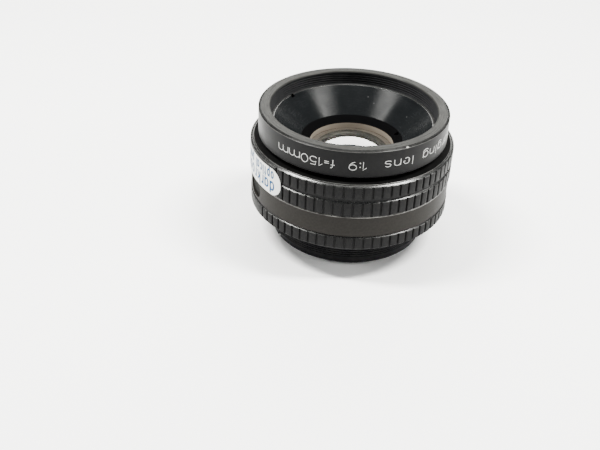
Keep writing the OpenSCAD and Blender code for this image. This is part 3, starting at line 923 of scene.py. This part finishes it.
def stroke_text(name, glyphs, radius, z_base, height, wide, proud=0.012 * MM):
    """Characters that stand a little proud of a cylinder, upside down when the front is up.

    glyphs holds (character, first degree, last degree). Degrees fall in the order of reading.
    """
    made = bmesh.new()

    def place(x, y, lifted):
        angle, out = x / radius, radius + (proud if lifted else -0.04 * MM)
        return (out * math.cos(angle), out * math.sin(angle), z_base - y)

    for letter, start, end in glyphs:
        first, last = (math.radians(a) * radius - k * wide / 2 for a, k in ((start, 1), (end, -1)))
        for path in glyph(letter):
            ribbon(made, [(first + (last - first) * x, height * y) for x, y in path], wide, place)
    return finish_mesh(name, made, 40)


WIDTHS = {"i": 0.3, "l": 0.3, "1": 0.62, "r": 0.68, "t": 0.75, "m": 1.35}     # the others are 1 wide


def spaced(words, start, letter, gap):
    """Characters of the words one after another, letter and gap in degrees."""
    glyphs = []
    for character in words:
        wide = letter * WIDTHS.get(character, 1.0)
        if character != " ":
            glyphs.append((character, start, start - wide))
        start -= wide + gap
    return glyphs


ENGRAVED = 0.19 * MM           # width of an engraved stroke


def name_ring_text():
    """The focal length and the ratio, where the photographed lens has them, and generic words."""
    z, tall = RIM_Z - 3.4 * MM, 2.55 * MM
    texts = {
        "engraved_ratio": [("1", 279.4, 277.1), (":", 276.6, 274.9), ("9", 274.0, 269.5)],
        "engraved_focal_length": [
            ("f", 261.8, 259.4), ("=", 258.5, 255.7), ("1", 254.8, 252.4), ("5", 251.4, 247.1),
            ("0", 246.1, 241.5), ("m", 240.7, 233.1), ("m", 232.4, 224.4),
        ],
        "engraved_words": spaced("enlarging lens", start=358.0, letter=4.3, gap=1.45),
    }
    for name, glyphs in texts.items():
        dress(stroke_text(name, glyphs, NAME_R, z, tall, ENGRAVED), MAT["white"], "barrel")


def stop_numbers():
    """The diaphragm numbers on the aperture ring and on the drum behind the window."""
    for number, turn in STOP_TURNS:
        digits = str(number)
        half = 1.45 * len(digits)
        ring = spaced(digits, INDEX_ANGLE - turn + half, letter=2.4, gap=0.6)
        piece = stroke_text(f"stop_{digits}", ring, RING_R, STOP_TEXT_Z, 2.0 * MM, ENGRAVED)
        dress(piece, MAT["white"], "aperture_control")
        drum = spaced(digits, WINDOW_ANGLE - turn + half, letter=2.4, gap=0.6)
        piece = stroke_text(f"drum_{digits}", drum, DRUM_TEXT_R, DRUM_TEXT_Z, 2.2 * MM, ENGRAVED)
        dress(piece, MAT["white"], "aperture_control")


def curved_patch(name, centre_angle, z, outline, radius, thickness):
    """A thin patch with the stated outline, (along the ring, up), bent around the ring."""
    longest, rounds = 1.2 * MM, 5
    made = bmesh.new()
    made.faces.new([made.verts.new((x, y, 0)) for x, y in outline])
    for _ in range(rounds):
        long_edges = [e for e in made.edges if e.calc_length() > longest]
        if not long_edges:
            break
        bmesh.ops.subdivide_edges(made, edges=long_edges, cuts=1)
        bmesh.ops.triangulate(made, faces=made.faces)
    grown = bmesh.ops.extrude_face_region(made, geom=made.faces[:])
    lifted = {v for v in grown["geom"] if isinstance(v, bmesh.types.BMVert)}
    for v in made.verts:
        angle = math.radians(centre_angle) + v.co.x / radius
        out = radius + (thickness if v in lifted else 0)
        v.co = Vector((out * math.cos(angle), out * math.sin(angle), z + v.co.y))
    return finish_mesh(name, made, 40)


def round_ended(half_length, half_height, corner, count=12):
    """Points of a rectangle with large round corners, centred on nought."""
    points = []
    for quarter, (sx, sy) in enumerate(((1, 1), (-1, 1), (-1, -1), (1, -1))):
        for k in range(count + 1):
            angle = math.pi / 2 * (quarter + k / count)
            points.append((sx * (half_length - corner) + corner * math.cos(angle),
                           sy * (half_height - corner) + corner * math.sin(angle)))
    return points


def label_line(name, glyphs, z_base, tall, wide):
    """One line of print on the sticker."""
    piece = stroke_text(name, glyphs, RING_R + 0.09 * MM, z_base, tall, wide, proud=0.02 * MM)
    dress(piece, MAT["print"], "aperture_control")


def label():
    """The sticker, with two lines of generic words."""
    centre_z = (LABEL_LOW.z + LABEL_HIGH.z) / 2
    half_height = (LABEL_HIGH.z - LABEL_LOW.z) / 2
    outline = round_ended(LABEL_LENGTH / 2, half_height, 0.93 * half_height)
    sheet = curved_patch("label_sheet", LABEL_ANGLE, centre_z, outline, RING_R + 0.005 * MM, 0.08 * MM)
    dress(sheet, MAT["label"], "aperture_control", ["shop_label"])
    large = spaced("darkroom", LABEL_ANGLE + 19.5, letter=4.0, gap=1.0)
    label_line("label_words_large", large, centre_z - 0.1 * MM, 3.6 * MM, 0.62 * MM)
    small = spaced("optical parts", LABEL_ANGLE + 19.0, letter=2.6, gap=0.8)
    label_line("label_words_small", small, centre_z + 3.5 * MM, 2.9 * MM, 0.5 * MM)


# ---- build ----

def on_ring(angle, r, z):
    """The point at an angle in degrees, a radius and a height."""
    return (r * math.cos(math.radians(angle)), r * math.sin(math.radians(angle)), z)


NICK_R, NICK_TONE = 0.5 * MM, (0.30, 0.30, 0.28)
SPECK_R, SPECK_TONE = 0.26 * MM, (0.04, 0.04, 0.04)
NICK = [(on_ring(NICK_ANGLE, NAME_R - 0.15 * MM, RIM_Z - 0.3 * MM), NICK_R, NICK_TONE)]
SPECKS = [(on_ring(a, r, cone_height(r)), SPECK_R, SPECK_TONE) for a, r in CONE_SPECKS]
MAT = {
    "ring": anodised(
        "ring_anodised", (0.0075, 0.0075, 0.008), (0.011, 0.011, 0.0107), rough=0.40,
        lines=0.25, grain=0.5, anisotropy=0.3, specular=0.035, mottle=1400.0),
    "edge": anodised(
        "edge_anodised", (0.008, 0.008, 0.008), (0.016, 0.016, 0.015), rough=0.24,
        lines=0.25, grain=0.3, anisotropy=0.5, specular=0.6, mottle=600.0),
    # Lighter edge strips: partly wear, partly painted highlight.
    "wear_and_highlight": anodised(
        "worn_edge_and_painted_highlight", (0.020, 0.020, 0.019), (0.05, 0.05, 0.047), rough=0.3,
        lines=0.25, grain=0.3, anisotropy=0.4, specular=0.3, mottle=500.0),
    # Top edge strip of the band: partly bare metal, partly painted highlight.
    "bare_and_highlight": anodised(
        "bare_edge_and_painted_highlight", (0.016, 0.015, 0.014), (0.20, 0.195, 0.185), rough=0.3,
        lines=0.25, grain=0.3, anisotropy=0.4, specular=0.3, mottle=220.0),
    # Painted shade: near black for the aperture ring's shoulder flat.
    "shade": anodised(
        "painted_shade_anodised", (0.0025, 0.0025, 0.0025), (0.004, 0.004, 0.004), rough=0.6,
        lines=0.2, grain=0.2, anisotropy=0.1, specular=0.01),
    "name": anodised(
        "name_anodised", (0.0055, 0.0055, 0.006), (0.0075, 0.0075, 0.0075), rough=0.36,
        lines=0.30, grain=0.2, anisotropy=0.6, specular=0.055, mottle=500.0),
    # Lighter base on the rim's top face: painted sheen in place of its reflection.
    "rim": anodised(
        "rim_anodised_painted_sheen", (0.013, 0.013, 0.0125), (0.029, 0.029, 0.027), rough=0.28,
        lines=0.9, grain=0.2, anisotropy=0.6, specular=0.02, turning=1.7, ringed=1.0),
    "bevel": anodised(
        "bevel_anodised", (0.004, 0.004, 0.004), (0.007, 0.007, 0.0065), rough=0.26,
        lines=0.3, grain=0.2, anisotropy=0.5, specular=0.12, spots=NICK),
    "thread": anodised(
        "thread_anodised", (0.013, 0.0135, 0.014), (0.017, 0.017, 0.018), rough=0.6,
        lines=0.2, grain=0.2, anisotropy=0.1, specular=0.005),
    "band": anodised(
        "band_anodised", (0.0118, 0.0109, 0.0098), (0.0160, 0.0146, 0.0131), rough=0.46,
        lines=0.10, grain=1.0, anisotropy=0.2, specular=0.04, mottle=1500.0),
    "mount": anodised(
        "mount_anodised", (0.006, 0.006, 0.007), (0.010, 0.010, 0.010), rough=0.42,
        lines=0.2, grain=0.2, anisotropy=0.3, specular=0.05),
    "cone": anodised(
        "cone_anodised", (0.0035, 0.004, 0.0043), (0.0050, 0.0055, 0.006), rough=0.24,
        lines=1.0, grain=0.1, anisotropy=0.85, specular=0.035, spots=SPECKS, turning=2.4, ringed=0.5),
    # Lighter base on the ledge: painted highlight.
    "ledge": anodised(
        "ledge_anodised_painted_highlight", (0.018, 0.018, 0.018), (0.030, 0.030, 0.029), rough=0.22,
        lines=0.3, grain=0.1, anisotropy=0.3, specular=0.8),
    "inner": anodised(
        "inner_anodised", (0.05, 0.05, 0.048), (0.07, 0.07, 0.066), rough=0.75,
        lines=0.02, grain=0.02, anisotropy=0.0, specular=0.02),
    "matte": plain_paint("optical_black", (0.001, 0.001, 0.0011), 0.85, specular=0.01),
    "bronze": plain_paint("bronze_wall", (0.150, 0.127, 0.099), 0.6, specular=0.1),
    "spacer": plain_paint("spacer_wall", (0.16, 0.148, 0.128), 0.6, specular=0.1),
    "white": plain_paint("engraving_white", (0.44, 0.44, 0.43), 0.6),
    "label": plain_paint("label_vinyl", (0.62, 0.63, 0.61), 0.45, 2500.0, 0.12, specular=0.3),
    "print": plain_paint("label_blue", (0.006, 0.05, 0.13), 0.5, specular=0.1),
    # Nearly black: painted shade of the unlit window, which hides the scale drum's numbers.
    "window": plain_paint("window_acrylic_painted_shade", (0.004, 0.004, 0.0035), 0.5, 1500.0, 0.03, specular=0.01),
    "brass": metal("dark_brass_cut", (0.20, 0.15, 0.09), rough=0.4),
    "blade": metal("blued_steel", (0.08, 0.085, 0.10), rough=0.35),
    "steel": metal("blackened_steel", (0.22, 0.22, 0.23), rough=0.35),
    "glass": glass("lens_glass", (0.97, 0.98, 0.97), (1.0, 0.93, 0.88), coat_ior=2.8),
    "glass_inner": glass("lens_glass_inner", (0.98, 0.98, 0.96), (0.35, 0.30, 0.26), coat_ior=1.15),
}

KEPT = {
    "inner": ("main_barrel", "front_cell", "rear_cell", "iris_base_plate"),
    "mount": ("barrel_lock_ring",),
    "spacer": ("front_spacer",),
    "matte": ("rear_spacer", "scale_drum"),
    "window": ("window",),
    "white": ("index_mark",),
    "steel": ("click_ball", "click_spring", "coupling_screw", "grip_ring_screws"),
    "brass": ("iris_drive_ring",),
    "blade": sorted(node for node in NODES if node.startswith("iris_blade_")),
}
SMOOTHED = ("main_barrel", "barrel_lock_ring", "scale_drum", "iris_drive_ring")


def kept_nodes():
    """The CAD nodes that stay as they are get their material, and the round ones their smooth shading."""
    for material, nodes in KEPT.items():
        for node in nodes:
            dress(NODES[node], MAT[material])
    for node in SMOOTHED:
        NODES[node].data.set_sharp_from_angle(angle=math.radians(30))


make_camera()
make_light()
make_floor()
kept_nodes()
aperture_ring()
grip_ring()
name_ring()
hood_cone()
retaining_ring("front_retainer", "front_retaining_ring", False)
retaining_ring("rear_retainer", "rear_retaining_ring", True)
mount_sleeve()
fixed_band()
front_glass()
rear_glass()
name_ring_text()
stop_numbers()
label()
